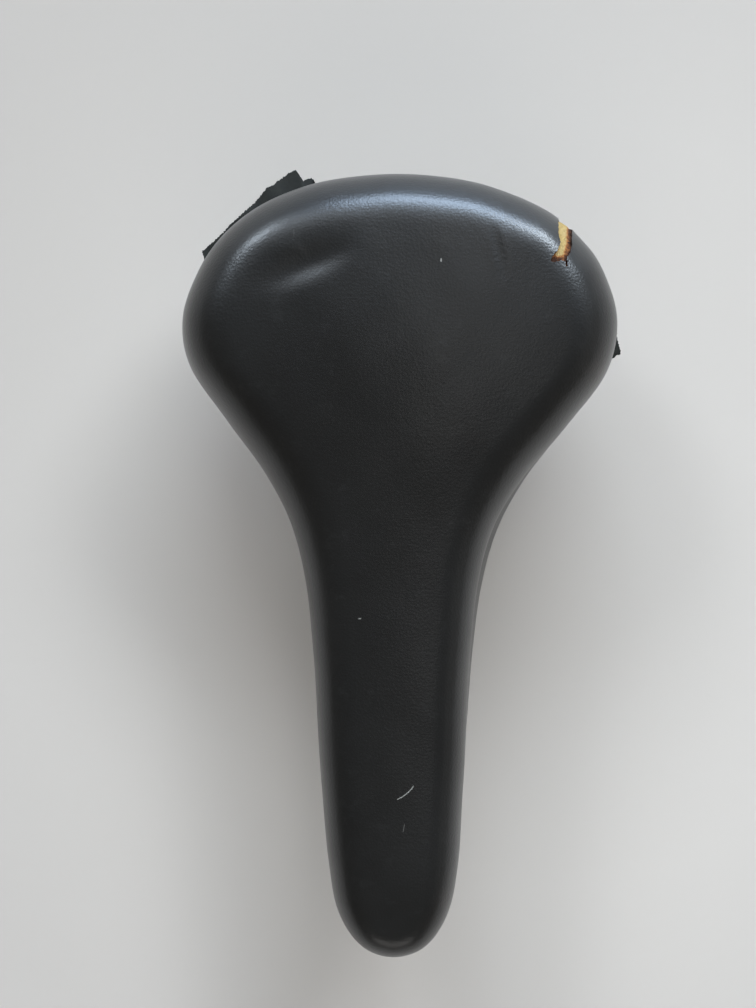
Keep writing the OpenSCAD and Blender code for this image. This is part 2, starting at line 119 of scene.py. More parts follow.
def foam_top_t(d):
    """The foam's thickness on top: it changes smoothly from d = 70 to d = 160."""
    t = np.clip((d - 70) / 90, 0, 1)
    return FOAM_REAR_T + (FOAM_NOSE_T - FOAM_REAR_T) * t * t * (3 - 2 * t)


def dense_outline(steps=48):
    """The whole outline as a closed polyline: rear, right side, nose, left side."""
    mirrored = OUTLINE * [-1, 1]
    closed = np.vstack([OUTLINE, mirrored[-2:0:-1]])
    m = len(closed)
    points = []
    for i in range(m):
        a, b, c, d = closed[i - 1], closed[i], closed[(i + 1) % m], closed[(i + 2) % m]
        for k in range(steps):
            points.append(catmull(a, b, c, d, k / steps))
    return np.array(points)


DENSE = dense_outline()
SIDE_BLEND = 24.0                    # width in x over which LEFT_OUT gives way to RIGHT_OUT


def smooth_bump(x, centre, half):
    """1 at the centre, falling to 0 at 'half' either side."""
    t = np.clip(np.abs(x - centre) / half, 0, 1)
    return (1 - t * t) ** 2


def outline_samples(spacing, fine=()):
    """Points round the outline. 'fine' holds (x, d, radius, spacing) for closer sampling."""
    mids = (DENSE + np.roll(DENSE, -1, 0)) / 2
    runs = np.linalg.norm(np.roll(DENSE, -1, 0) - DENSE, axis=1)
    step = np.full(len(mids), float(spacing))
    for x, d, radius, near in fine:
        w = smooth_bump(np.hypot(mids[:, 0] - x, mids[:, 1] - d), 0, radius)
        step = 1 / (1 / step + w * max(1 / near - 1 / spacing, 0))
    along = np.concatenate([[0], np.cumsum(runs / step)])
    count = int(round(along[-1]))
    wanted = np.arange(count) * along[-1] / count
    at = np.interp(wanted, along, np.arange(len(along)))
    i = np.floor(at).astype(int) % len(DENSE)
    t = (at - np.floor(at))[:, None]
    return DENSE[i] * (1 - t) + DENSE[(i + 1) % len(DENSE)] * t


class Rim:
    """Rays from the outline to the spine, on which every layer is built."""

    def __init__(self, samples):
        self.p = samples
        self.n = len(samples)
        d = samples[:, 1]
        spine = np.stack([np.zeros(self.n), np.clip(d, SPINE_REAR, SPINE_NOSE)], 1)
        self.length = np.linalg.norm(spine - samples, axis=1)
        self.dir = (spine - samples) / self.length[:, None]
        right = np.clip(samples[:, 0] / SIDE_BLEND + 0.5, 0, 1)
        self.out = (shape_value(RIGHT_OUT, d) * right + shape_value(LEFT_OUT, d) * (1 - right))


def to_row(p, z):
    """Row-frame points in mm from plan points [x, d] and heights."""
    return np.stack([p[:, 0] * SCALE_X, REAR_Y - p[:, 1] * SCALE_Y, z], 1)


class Layer:
    """A surface of the saddle, 'inset' inside the outline and 'drop' below the top.

    'under_foam' is the share of the foam's thickness that is added to the drop, and 'worn' the
    share of the worn cover's sideways sway.
    """

    def __init__(self, rim, inset, drop, under_foam, worn=0.0):
        self.rim = rim
        self.worn = worn
        self.inset = inset
        d = rim.p[:, 1]
        self.drop = drop + under_foam * foam_top_t(d)
        extra = self.drop - inset
        self.w = np.maximum(5, shape_value(SHOULDER_W, d) - inset - extra / 2)
        self.h = np.maximum(1, shape_value(SHOULDER_H, d) - self.drop)

    def _worn(self, p, share):
        """Plan points moved outwards by the wear, by a share that falls away from the rim."""
        return p - self.rim.dir * (self.rim.out * self.worn * np.clip(share, 0, 1))[:, None]

    def _top(self, u):
        """Plan points u mm in from the outline, and the top's height there."""
        p = self.rim.p + self.rim.dir * u[:, None]
        z = shape_value(TOP_Z, p[:, 1]) - shape_value(CROWN, p[:, 1]) * p[:, 0] ** 2
        return self._worn(p, 1 - u / self.rim.length), z - self.drop

    def middle(self, share):
        """The ring at a share of the way from the spine out to the shoulder."""
        start = self.inset + self.w
        p, z = self._top(self.rim.length + (start - self.rim.length) * share)
        return to_row(p, z)

    def shoulder(self, turn):
        """The ring at 0 to 90 degrees round the shoulder, from the top to the side."""
        a = math.radians(turn)
        p, z = self._top(self.inset + self.w * (1 - max(math.sin(a), 0) ** SHOULDER_POWER))
        return to_row(p, z - self.h * (1 - max(math.cos(a), 0) ** SHOULDER_POWER))

    def side(self, inset, up):
        """The ring at an inset from the outline and a height over the lower edge."""
        p = self.rim.p + self.rim.dir * np.broadcast_to(inset, (self.rim.n,))[:, None]
        return to_row(self._worn(p, (up - 2) / 8), shape_value(EDGE_Z, self.rim.p[:, 1]) + up)


def to_plan(row_mm):
    """Plan points [x, d] from row-frame points in mm."""
    return np.stack([row_mm[..., 0] / SCALE_X, (REAR_Y - row_mm[..., 1]) / SCALE_Y], -1)


def vertices_mm(obj):
    return np.array([v.co for v in obj.data.vertices]) / MM


def point_values(obj, name, values):
    """Store one number per vertex for a material to read."""
    layer = obj.data.attributes.new(name, "FLOAT", "POINT")
    layer.data.foreach_set("value", values.astype(np.float32))


def grid_normals(grid):
    """Outward unit normals of a grid of rings [ring, point, xyz]."""
    along = np.roll(grid, -1, 1) - np.roll(grid, 1, 1)
    down = np.gradient(grid, axis=0)
    n = np.cross(along, down)
    n /= np.maximum(np.linalg.norm(n, axis=2, keepdims=True), 1e-9)
    return n


def mesh_object(name, verts_mm, faces, material):
    mesh = bpy.data.meshes.new(name)
    mesh.from_pydata((np.asarray(verts_mm) * MM).tolist(), [], [list(map(int, f)) for f in faces])
    mesh.update()
    obj = bpy.data.objects.new(name, mesh)
    SCENE.collection.objects.link(obj)
    mesh.materials.append(material)
    return obj


def smooth(obj, angle):
    """Smooth shading, apart from edges sharper than an angle in degrees."""
    for poly in obj.data.polygons:
        poly.use_smooth = True
    obj.data.set_sharp_from_angle(angle=math.radians(angle))


def grid_faces(ring_count, n, closed=True):
    """Quads between rings of n points each."""
    faces = []
    for r in range(ring_count - 1):
        for j in range(n if closed else n - 1):
            k = (j + 1) % n
            faces.append((r * n + j, (r + 1) * n + j, (r + 1) * n + k, r * n + k))
    return faces


def apply_modifiers(obj):
    dg = bpy.context.evaluated_depsgraph_get()
    mesh = bpy.data.meshes.new_from_object(obj.evaluated_get(dg), depsgraph=dg)
    old = obj.data
    obj.modifiers.clear()
    obj.data = mesh
    bpy.data.meshes.remove(old)


def weld(obj, dist_mm):
    """Join vertices that nearly coincide, and face every polygon outwards."""
    bm = bmesh.new()
    bm.from_mesh(obj.data)
    bmesh.ops.remove_doubles(bm, verts=bm.verts, dist=dist_mm * MM)
    bmesh.ops.dissolve_degenerate(bm, edges=bm.edges, dist=dist_mm * MM / 4)
    bmesh.ops.recalc_face_normals(bm, faces=bm.faces)
    bm.to_mesh(obj.data)
    bm.free()


# ---- Materials -----------------------------------------------------------------------------

class Nodes:
    """A small helper for building a material's node tree."""

    def __init__(self, name):
        self.material = bpy.data.materials.new(name)
        self.material.use_nodes = True
        self.tree = self.material.node_tree
        self.tree.nodes.clear()
        self.out = self.add("ShaderNodeOutputMaterial")
        self.shader = self.add("ShaderNodeBsdfPrincipled")
        self.link(self.shader.outputs[0], self.out.inputs[0])
        self.coord = self.add("ShaderNodeTexCoord").outputs["Object"]

    def add(self, kind, **values):
        node = self.tree.nodes.new(kind)
        for key, value in values.items():
            setattr(node, key, value)
        return node

    def link(self, a, b):
        self.tree.links.new(a, b)

    def put(self, socket, value):
        if isinstance(value, bpy.types.NodeSocket):
            self.link(value, socket)
        else:
            socket.default_value = value

    def noise(self, scale, detail=3.0, rough=0.55, at=None, distortion=0.0):
        node = self.add("ShaderNodeTexNoise")
        self.link(at or self.coord, node.inputs["Vector"])
        node.inputs["Scale"].default_value = scale
        node.inputs["Detail"].default_value = detail
        node.inputs["Roughness"].default_value = rough
        node.inputs["Distortion"].default_value = distortion
        return node.outputs["Fac"]

    def voronoi(self, scale):
        node = self.add("ShaderNodeTexVoronoi")
        self.link(self.coord, node.inputs["Vector"])
        node.inputs["Scale"].default_value = scale
        return node.outputs["Distance"]

    def math(self, op, a, b, clamp=False):
        node = self.add("ShaderNodeMath", operation=op, use_clamp=clamp)
        self.put(node.inputs[0], a)
        self.put(node.inputs[1], b)
        return node.outputs[0]

    def stretched(self, x, y, z):
        """The piece's coordinates scaled along each axis."""
        node = self.add("ShaderNodeMapping")
        self.link(self.coord, node.inputs["Vector"])
        node.inputs["Scale"].default_value = (x, y, z)
        return node.outputs[0]

    def remap(self, value, low, high, to_low=0.0, to_high=1.0):
        node = self.add("ShaderNodeMapRange", clamp=True)
        self.link(value, node.inputs["Value"])
        node.inputs["From Min"].default_value = low
        node.inputs["From Max"].default_value = high
        node.inputs["To Min"].default_value = to_low
        node.inputs["To Max"].default_value = to_high
        return node.outputs["Result"]

    def mix(self, factor, a, b):
        node = self.add("ShaderNodeMix", data_type="RGBA")
        self.put(node.inputs["Factor"], factor)
        self.put(node.inputs["A"], a)
        self.put(node.inputs["B"], b)
        return node.outputs["Result"]

    def attribute(self, name):
        return self.add("ShaderNodeAttribute", attribute_name=name).outputs["Fac"]

    def bump(self, height, distance_mm, strength):
        node = self.add("ShaderNodeBump")
        node.inputs["Strength"].default_value = strength
        node.inputs["Distance"].default_value = distance_mm * MM
        self.link(height, node.inputs["Height"])
        return node.outputs["Normal"]

    def plan(self):
        """The piece's coordinates with the height left out."""
        node = self.add("ShaderNodeVectorMath", operation="MULTIPLY")
        self.link(self.coord, node.inputs[0])
        node.inputs[1].default_value = (1, 1, 0)
        return node.outputs[0]

    def stroke(self, flat, start, end, half_mm):
        """1 along a straight line in plan from [x, d] to [x, d], fading to 0 at its half width."""
        a = Vector((start[0], REAR_Y - start[1], 0)) * MM
        b = Vector((end[0], REAR_Y - end[1], 0)) * MM
        line = (b - a).normalized()
        gap = self.add("ShaderNodeVectorMath", operation="SUBTRACT")
        self.link(flat, gap.inputs[0])
        gap.inputs[1].default_value = a
        along = self.add("ShaderNodeVectorMath", operation="DOT_PRODUCT")
        self.link(gap.outputs[0], along.inputs[0])
        along.inputs[1].default_value = line
        reach = self.remap(along.outputs["Value"], 0.0, (b - a).length, 0.0, (b - a).length)
        foot = self.add("ShaderNodeVectorMath", operation="SCALE")
        foot.inputs[0].default_value = line
        self.link(reach, foot.inputs["Scale"])
        off = self.add("ShaderNodeVectorMath", operation="DISTANCE")
        self.link(gap.outputs[0], off.inputs[0])
        self.link(foot.outputs[0], off.inputs[1])
        return self.remap(off.outputs["Value"], half_mm * MM, 0.0)

    def set(self, **sockets):
        names = {"color": "Base Color", "rough": "Roughness", "metal": "Metallic",
                 "normal": "Normal", "ior": "IOR", "coat": "Coat Weight",
                 "coat_rough": "Coat Roughness", "coat_normal": "Coat Normal",
                 "specular": "Specular IOR Level"}
        for key, value in sockets.items():
            self.put(self.shader.inputs[names[key]], value)
        return self.material


# Light scratches and specks on the cover: plan points [x, d], half width and strength.
SCRATCHES = [
    ([(1.2, 212.6), (2.4, 212.0), (3.6, 211.2), (4.8, 210.2), (5.8, 209.1), (6.4, 208.2)],
     0.26, 0.75),
    ([(13.2, 33.9), (13.2, 34.6)], 0.32, 1.0),
    ([(-12.4, 152.6), (-11.8, 152.5)], 0.28, 0.8),
    ([(3.6, 221.0), (3.2, 223.4)], 0.22, 0.22),
    ([(-35.4, 24.6), (-35.2, 26.6)], 0.34, 0.06),
]


# Fine creases: plan points [x, d], half width in mm and rise (in the grain's own height units).
CREASES = [
    ([(30.6, 23.6), (31.8, 28.5), (32.8, 32.4), (34.4, 38.6)], 1.9, -1.3),
    ([(20.2, 20.4), (23.0, 23.6)], 1.2, -0.5),
]


def vinyl_material():
    n = Nodes("cover_vinyl")
    mottle = n.noise(38, 4, 0.6)
    fade = n.noise(14, 3, 0.5)
    dust = n.remap(n.noise(160, 5, 0.65), 0.58, 0.75)
    base = n.mix(n.remap(mottle, 0.3, 0.7), (0.0044, 0.0044, 0.0043, 1),
                 (0.0068, 0.0067, 0.0065, 1))
    base = n.mix(n.math("MULTIPLY", n.remap(fade, 0.45, 0.75), 0.35), base,
                 (0.014, 0.0145, 0.0148, 1))
    base = n.mix(n.math("MULTIPLY", dust, 0.05), base, (0.08, 0.08, 0.076, 1))
    worn = n.attribute("worn")
    base = n.mix(n.math("MULTIPLY", worn, n.remap(n.noise(210, 4, 0.7), 0.35, 0.65)),
                 base, (0.058, 0.040, 0.034, 1))
    flat = n.plan()
    for points, half, share in SCRATCHES:
        for start, end in zip(points[:-1], points[1:]):
            mark = n.math("MULTIPLY", n.stroke(flat, start, end, half), share)
            base = n.mix(mark, base, (0.34, 0.34, 0.32, 1))
    rough = n.remap(n.noise(70, 4, 0.6), 0.3, 0.7, 0.44, 0.54)
    rough = n.math("ADD", rough, n.math("MULTIPLY", dust, 0.08))
    grain = n.voronoi(1150)
    fine = n.noise(2600, 2, 0.5)
    cloth = n.noise(1250, 2, 0.6, at=n.stretched(0.16, 1, 1))
    streak = n.noise(520, 2, 0.6, at=n.stretched(1, 0.12, 1))
    height = n.math("MULTIPLY", grain, 0.9)
    for layer_height, share in ((fine, 0.5), (cloth, 0.8), (streak, 0.6)):
        height = n.math("ADD", height, n.math("MULTIPLY", layer_height, share))
    for points, half, rise in CREASES:
        line = n.stroke(flat, points[0], points[1], half)
        for start, end in zip(points[1:-1], points[2:]):
            line = n.math("MAXIMUM", line, n.stroke(flat, start, end, half))
        height = n.math("ADD", height, n.math("MULTIPLY", line, rise))
    normal = n.bump(height, 0.075, 0.5)
    return n.set(color=base, rough=rough, normal=normal, specular=0.14, ior=1.5,
                 coat=0.75, coat_rough=0.29, coat_normal=normal)


def torn_vinyl_material():
    n = Nodes("torn_vinyl")
    base = n.mix(n.remap(n.noise(420, 4, 0.7), 0.3, 0.7), (0.0075, 0.008, 0.0068, 1),
                 (0.0175, 0.018, 0.014, 1))
    normal = n.bump(n.noise(900, 4, 0.7), 0.15, 0.8)
    return n.set(color=base, rough=0.8, normal=normal, specular=0.3)


def foam_material():
    n = Nodes("foam")
    cells = n.voronoi(1500)
    pores = n.remap(n.voronoi(900), 0.05, 0.5)
    tone = n.noise(120, 4, 0.6)
    base = n.mix(n.remap(tone, 0.35, 0.7), (0.43, 0.325, 0.145, 1), (0.36, 0.25, 0.085, 1))
    # Painted shade: darker in the pores, where the bump is lowest
    base = n.mix(n.math("MULTIPLY", n.math("SUBTRACT", 1.0, pores), 0.35), base,
                 (0.20, 0.135, 0.055, 1))
    # Painted shade along the slit: browner, then near black at its outer side and inner end, where
    # the cover's edge shades the foam
    slit_shade = n.attribute("slit_shade")
    ragged = n.math("ADD", slit_shade, n.remap(n.noise(700, 3, 0.7), 0.3, 0.7, -0.22, 0.22))
    base = n.mix(n.remap(ragged, 0.30, 0.72), base, (0.30, 0.115, 0.035, 1))
    base = n.mix(n.remap(ragged, 0.66, 0.98), base, (0.045, 0.018, 0.010, 1))
    height = n.math("ADD", pores, n.math("MULTIPLY", cells, 0.5))
    normal = n.bump(height, 0.25, 0.7)
    return n.set(color=base, rough=0.92, normal=normal, specular=0.2)


def burnt_edge_material():
    n = Nodes("cut_edge")
    base = n.mix(n.remap(n.noise(600, 3, 0.7), 0.35, 0.65), (0.085, 0.024, 0.012, 1),
                 (0.016, 0.010, 0.009, 1))
    return n.set(color=base, rough=0.7, specular=0.3,
                 normal=n.bump(n.noise(1200, 3, 0.7), 0.12, 0.7))


def moulded_material(name, low, high, rough):
    n = Nodes(name)
    flow = n.noise(30, 4, 0.6, distortion=0.6)
    scuff = n.remap(n.noise(240, 5, 0.7), 0.6, 0.78)
    base = n.mix(n.remap(flow, 0.3, 0.7), (*low, 1), (*high, 1))
    base = n.mix(n.math("MULTIPLY", scuff, 0.25), base, (0.10, 0.10, 0.095, 1))
    height = n.math("ADD", n.noise(1900, 3, 0.6), n.math("MULTIPLY", n.noise(150, 2, 0.5), 0.6))
    return n.set(color=base, rough=n.remap(flow, 0.3, 0.7, rough - 0.06, rough + 0.08),
                 normal=n.bump(height, 0.06, 0.45), specular=0.45)


def metal_material(name, bright, dull, rough, rust, brushed):
    n = Nodes(name)
    cloud = n.noise(90, 5, 0.65)
    spots = n.remap(n.noise(420, 5, 0.7), 0.66 - 0.10 * rust, 0.80 - 0.08 * rust)
    base = n.mix(n.remap(cloud, 0.3, 0.72), (*bright, 1), (*dull, 1))
    base = n.mix(spots, base, (0.16, 0.065, 0.025, 1))
    metallic = n.math("SUBTRACT", 1.0, n.math("MULTIPLY", spots, 0.85))
    roughness = n.math("ADD", n.remap(cloud, 0.3, 0.72, rough, rough + 0.12),
                       n.math("MULTIPLY", spots, 0.4), clamp=True)
    lines = n.noise(2600, 2, 0.6, at=n.stretched(1, 0.06, 1))
    pits = n.noise(800, 3, 0.6)
    height = n.math("ADD", n.math("MULTIPLY", lines, brushed), n.math("MULTIPLY", pits, 0.5))
    return n.set(color=base, metal=metallic, rough=roughness,
                 normal=n.bump(height, 0.03, 0.35))


VINYL = vinyl_material()
TORN = torn_vinyl_material()
FOAM = foam_material()
BURNT = burnt_edge_material()
BASE_PLASTIC = moulded_material("base_plastic", (0.016, 0.016, 0.017), (0.026, 0.026, 0.027), 0.42)
SOCKET_PLASTIC = moulded_material("socket_plastic", (0.020, 0.020, 0.021),
                                  (0.033, 0.033, 0.034), 0.36)
RAIL_STEEL = metal_material("rail_steel", (0.66, 0.66, 0.67), (0.50, 0.50, 0.51), 0.12, 0.35, 0.4)
CLAMP_STEEL = metal_material("clamp_steel", (0.50, 0.50, 0.49), (0.36, 0.355, 0.34),
                             0.34, 0.7, 0.8)
FASTENER_STEEL = metal_material("fastener_steel", (0.58, 0.56, 0.50), (0.43, 0.41, 0.36),
                                0.28, 0.8, 0.3)
SCREW_STEEL = metal_material("screw_steel", (0.56, 0.54, 0.46), (0.38, 0.36, 0.30), 0.32, 0.9, 0.2)
STAPLE_STEEL = metal_material("staple_steel", (0.55, 0.54, 0.52), (0.34, 0.32, 0.29), 0.3, 0.9, 0.2)

# ---- Local features of the cover, in plan [x, d] mm ------------------------------------------

SLIT_OUTER = [(56.5, 13.0), (60.6, 16.0), (59.2, 19.0), (58.0, 21.4), (57.3, 24.8), (57.1, 27.4),
              (56.3, 30.0), (55.1, 32.2), (54.6, 33.6), (53.0, 33.3), (51.0, 34.0), (49.5, 33.6)]
SLIT_INNER = [(49.6, 32.6), (50.7, 31.1), (51.9, 29.7), (53.0, 26.6), (52.4, 23.6), (52.7, 21.0),
              (53.2, 18.0), (54.4, 14.5)]
SLIT = np.array(SLIT_OUTER + SLIT_INNER)
SLIT_MID = (54.8, 25.5)
SLIT_TOP = (59.0, 15.5)              # where it crosses the rim
SLIT_END = (50.0, 32.8)
NICK = [(54.4, 33.0), (55.1, 33.1), (55.2, 35.2), (54.5, 35.1)]


def polyline_distance(points, line):
    """Each plan point's distance from a polyline, the share of its length at the foot, and
    which side of the line the point lies on (1 or -1)."""
    line = np.asarray(line, float)
    best = np.full(len(points), 1e9)
    share = np.zeros(len(points))
    side = np.zeros(len(points))
    runs = np.linalg.norm(np.diff(line, axis=0), axis=1)
    total, done = runs.sum(), 0.0
    for a, b, run in zip(line[:-1], line[1:], runs):
        t = np.clip(((points - a) @ (b - a)) / run ** 2, 0, 1)
        foot = a + t[:, None] * (b - a)
        gap = points - foot
        dist = np.linalg.norm(gap, axis=1)
        s = np.sign((b - a)[0] * gap[:, 1] - (b - a)[1] * gap[:, 0])
        hit = dist < best
        best[hit], share[hit], side[hit] = dist[hit], (done + t * run)[hit] / total, s[hit]
        done += run
    return best, share, side


# The long dent at the left rear, the small fold behind it and the crease at the right rear
CREASE_LINE = [(-52.0, 45.0), (-45.5, 42.6), (-39.5, 40.2), (-33.8, 37.5), (-26.4, 34.4),
               (-18.5, 30.6), (-9.5, 26.6)]
RIDGE_LINE = [(-42.0, 33.6), (-38.6, 31.2), (-35.0, 30.0), (-31.4, 32.0)]
PINCH_LINE = [(30.4, 23.6), (31.6, 28.3), (32.6, 32.0), (34.2, 38.0)]


def mound(x, d, at_x, at_d, half_x, half_d):
    """A round bump of height 1 at a plan point, with its widths along x and d."""
    return np.exp(-(((x - at_x) / half_x) ** 2 + ((d - at_d) / half_d) ** 2))


def cover_relief(plan):
    """How far the cover stands out (mm) from its smooth form at plan points [x, d]."""
    x, d = plan[:, 0], plan[:, 1]
    out = np.zeros(len(plan))
    dist, share, side = polyline_distance(plan, CREASE_LINE)
    ends = np.sin(np.pi * share) ** 2.2 * smooth_bump(dist, 0, 16)
    width = np.where(side > 0, 4.2, 6.4)
    out -= 1.50 * np.exp(-(dist / width) ** 2) * ends
    dist, share, _ = polyline_distance(plan, RIDGE_LINE)
    out += 0.20 * np.exp(-(dist / 1.5) ** 2) * np.sin(np.pi * share) ** 0.7
    dist, share, _ = polyline_distance(plan, PINCH_LINE)
    out -= 0.30 * np.exp(-(dist / 1.1) ** 2) * np.sin(np.pi * share) ** 0.5
    out += 0.16 * np.exp(-((dist - 2.2) / 1.4) ** 2) * np.sin(np.pi * share) ** 0.5
    # The tear: its inner side has pulled up, its outer side has sunk
    out += 0.35 * mound(x, d, 48.5, 22.0, 5.5, 7.0)
    out -= 0.5 * mound(x, d, 60.5, 26.5, 4.5, 7.0)
    # Two shallow hollows where the rider sits, and slow unevenness of old foam
    out -= 0.55 * mound(np.abs(x), d, 33, 62, 17, 20)
    out += 0.10 * np.sin(x / 9.0 + 0.6) * np.sin(d / 13.0 + 1.1)
    out += 0.06 * np.sin(x / 4.3 + 2.0) * np.sin(d / 6.1 + 0.4)
    return out


# ---- The cover -------------------------------------------------------------------------------

# Closer points at the slit and at the two torn stretches of hem: x, d, radius, spacing
FINE = [(56, 22, 26, 0.55), (-38, 12, 38, 1.1), (73, 58, 14, 0.8)]
cover_rim = Rim(outline_samples(1.9, FINE))
outside = Layer(cover_rim, 0.0, 0.0, 0, worn=1.0)

# Rings from the spine out over the shoulder, down the side, round the fold and up the hem
HEM_R = 1.5                          # radius of the turn from the fold up into the hem
top = [outside.middle(share) for share in np.linspace(0, 1, 26)[:-1]]
top += [outside.shoulder(turn) for turn in np.linspace(0, 90, 34)]
rim_up = top[-1][:, 2] - shape_value(EDGE_Z, cover_rim.p[:, 1])
side = [outside.side(0.0, FOLD_R + (rim_up - FOLD_R) * share) for share in np.linspace(1, 0, 9)[1:]]
fold = [outside.side(FOLD_R * (1 - math.cos(a)), FOLD_R * (1 - math.sin(a)))
        for a in np.radians([22.5, 45, 67.5, 90])]
fold += [outside.side(inset, 0.0) for inset in (3.0, 4.4, HEM_INSET - HEM_R)]
hem = [outside.side(HEM_INSET - HEM_R * (1 - math.sin(a)), HEM_R * (1 - math.cos(a)))
       for a in np.radians([30, 60, 90])]
angle = np.linspace(0, 2 * np.pi, cover_rim.n, endpoint=False)
hem_edge = HEM_H + 0.5 * np.sin(9 * angle + 1) + 0.35 * np.sin(23 * angle) - 0.4
hem += [outside.side(HEM_INSET, HEM_R + (hem_edge - HEM_R) * share) for share in (0.4, 0.7, 1.0)]
grid = np.array(top + side + fold + hem)
SIDE_AT = len(top)
FOLD_AT = SIDE_AT + len(side)
HEM_AT = FOLD_AT + len(fold)

normals = grid_normals(grid)
normals[0] = (0, 0, 1)               # the first ring has no width along the spine
relief = np.zeros(grid.shape[:2])
relief[:SIDE_AT] = cover_relief(to_plan(grid[:SIDE_AT]).reshape(-1, 2)).reshape(SIDE_AT, -1)
# Below the rim the relief at the rim fades out downwards
for k in range(len(side)):
    relief[SIDE_AT + k] = relief[SIDE_AT - 1] * (1 - (k + 1) / (len(side) + 1)) ** 1.5
# Pleats where the hem is gathered round the nose and the wings
tight = (smooth_bump(cover_rim.p[:, 1], 262, 26) * 0.9
         + smooth_bump(cover_rim.p[:, 1], 40, 46) * 0.45)
pleat = np.abs(np.sin(angle * 61 + 2.0 * np.sin(angle * 7))) ** 0.8 - 0.35
relief[HEM_AT:] += pleat * 0.55 * tight
relief[FOLD_AT + 3:HEM_AT] += pleat * 0.3 * tight
grid = grid + normals * relief[..., None]

cover = mesh_object("saddle_cover", grid.reshape(-1, 3), grid_faces(len(grid), cover_rim.n), VINYL)
weld(cover, 0.05)
cover.data.materials.append(BURNT)
solid = cover.modifiers.new("thickness", "SOLIDIFY")
solid.thickness = COVER_T * MM
solid.offset = -1
solid.use_even_offset = False
apply_modifiers(cover)


def prism(name, outline, levels, material, about=(0, 0), ragged=0.0):
    """A closed upright form over a plan outline [x, d], its sides slightly ragged.

    'levels' holds (height, scale); the outline is scaled about the plan point 'about'.
    """
    pts = []
    outline = np.asarray(outline)
    for a, b in zip(outline, np.roll(outline, -1, 0)):
        run = max(1, int(round(np.linalg.norm(b - a) / 0.45)))
        for k in range(run):
            pts.append(a + (b - a) * k / run)
    pts = np.array(pts)
    pts += RNG.normal(0, ragged, pts.shape)
    n = len(pts)
    rows = [to_row(about + (pts - about) * scale, np.full(n, z)) for z, scale in levels]
    faces = grid_faces(len(rows), n)
    faces.append(list(range(n)))
    faces.append(list(range(len(rows) * n - 1, (len(rows) - 1) * n - 1, -1)))
    obj = mesh_object(name, np.vstack(rows), faces, material)
    weld(obj, 0.001)
    return obj


# The slit runs down over the rim and narrows to a point on the side
SLIT_LEVELS = [(48.5, 0.05), (53.0, 0.55), (58.0, 0.92), (63.0, 1), (95.0, 1)]
cutter = prism("slit_cutter", SLIT, SLIT_LEVELS, BURNT, about=(57.6, 15.4), ragged=0.12)
nick = prism("nick_cutter", NICK, [(53.0, 1), (95.0, 1)], BURNT)
for tool in (cutter, nick):
    cut = cover.modifiers.new("cut", "BOOLEAN")
    cut.operation = "DIFFERENCE"
    cut.solver = "EXACT"
    cut.object = tool
    cut.material_mode = "TRANSFER"
apply_modifiers(cover)
for tool in (cutter, nick):
    bpy.data.objects.remove(tool)
smooth(cover, 50)

# Worn places at the nose and on the right wing
place_mm = vertices_mm(cover)
worn_x, worn_d = place_mm[:, 0], REAR_Y - place_mm[:, 1]
point_values(cover, "worn", 0.55 * mound(worn_x, worn_d, 21, 254, 5, 9)
             + 0.5 * mound(worn_x, worn_d, 70, 73, 6, 9))
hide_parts("cover")
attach(cover, "saddle")

# ---- The foam pad ----------------------------------------------------------------------------

foam_rim = Rim(outline_samples(2.6, [(57, 22, 22, 0.7)]))
foam_out = Layer(foam_rim, COVER_T + FIT_GAP, COVER_T + FIT_GAP, 0, worn=1.0)
foam_in = Layer(foam_rim, COVER_T + FOAM_SIDE_T, COVER_T, 1)
FLOOR_UP = COVER_T + FIT_GAP         # the foam's lower edge, over the cover's
foam_rings = [foam_out.middle(s) for s in np.linspace(0, 1, 15)[:-1]]
foam_rings += [foam_out.shoulder(t) for t in np.linspace(0, 90, 26)]
foam_rings += [foam_out.side(foam_out.inset, FLOOR_UP + up) for up in (4, 0)]
outer_count = len(foam_rings)
foam_rings += [foam_in.side(foam_in.inset, FLOOR_UP + up) for up in (0, 4)]
foam_rings += [foam_in.shoulder(t) for t in np.linspace(90, 0, 12)]
foam_rings += [foam_in.middle(s) for s in np.linspace(1, 0, 8)[1:]]
foam_grid = np.array(foam_rings)
foam_plan = to_plan(foam_grid)
foam_x, foam_d = foam_plan[..., 0], foam_plan[..., 1]
foam_relief = cover_relief(foam_plan.reshape(-1, 2)).reshape(foam_grid.shape[:2])
foam_relief = np.minimum(foam_relief, 0) + 0.35 * np.maximum(foam_relief, 0)
near_slit = mound(foam_x, foam_d, *SLIT_MID, 7.746, 7.746)
foam_relief += near_slit * 0.35 * np.sin(foam_x * 2.3) * np.sin(foam_d * 1.9)
# Squeezed out a little where the slit crosses the rim
foam_relief += 1.8 * mound(foam_x, foam_d, *SLIT_TOP, 4.69, 4.69)
foam_relief[outer_count:] = 0
foam_grid = foam_grid + grid_normals(foam_grid) * foam_relief[..., None]
foam = mesh_object("saddle_foam", foam_grid.reshape(-1, 3),
                   grid_faces(len(foam_grid), foam_rim.n), FOAM)
weld(foam, 0.05)
smooth(foam, 60)
# Painted shade along the slit, deepest at its outer side and its inner end, where the cover's edge
# shades the foam
foam_xd = to_plan(vertices_mm(foam))
outer_gap = polyline_distance(foam_xd, SLIT_OUTER)[0]
inner_gap = polyline_distance(foam_xd, SLIT_INNER)[0]
end_gap = np.hypot(foam_xd[:, 0] - SLIT_END[0], foam_xd[:, 1] - SLIT_END[1])
slit_shade = np.maximum.reduce([1.75 - outer_gap / 1.5, 0.66 - inner_gap / 1.0, 1.35 - end_gap / 2.6])
point_values(foam, "slit_shade", np.clip(slit_shade, 0, 1))
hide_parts("foam_pad")
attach(foam, "saddle")

# ---- Torn hem that sticks out past the rim -----------------------------------------------------

HEM_OVER_EDGE = 4.0                  # height of the torn strips over the lower edge


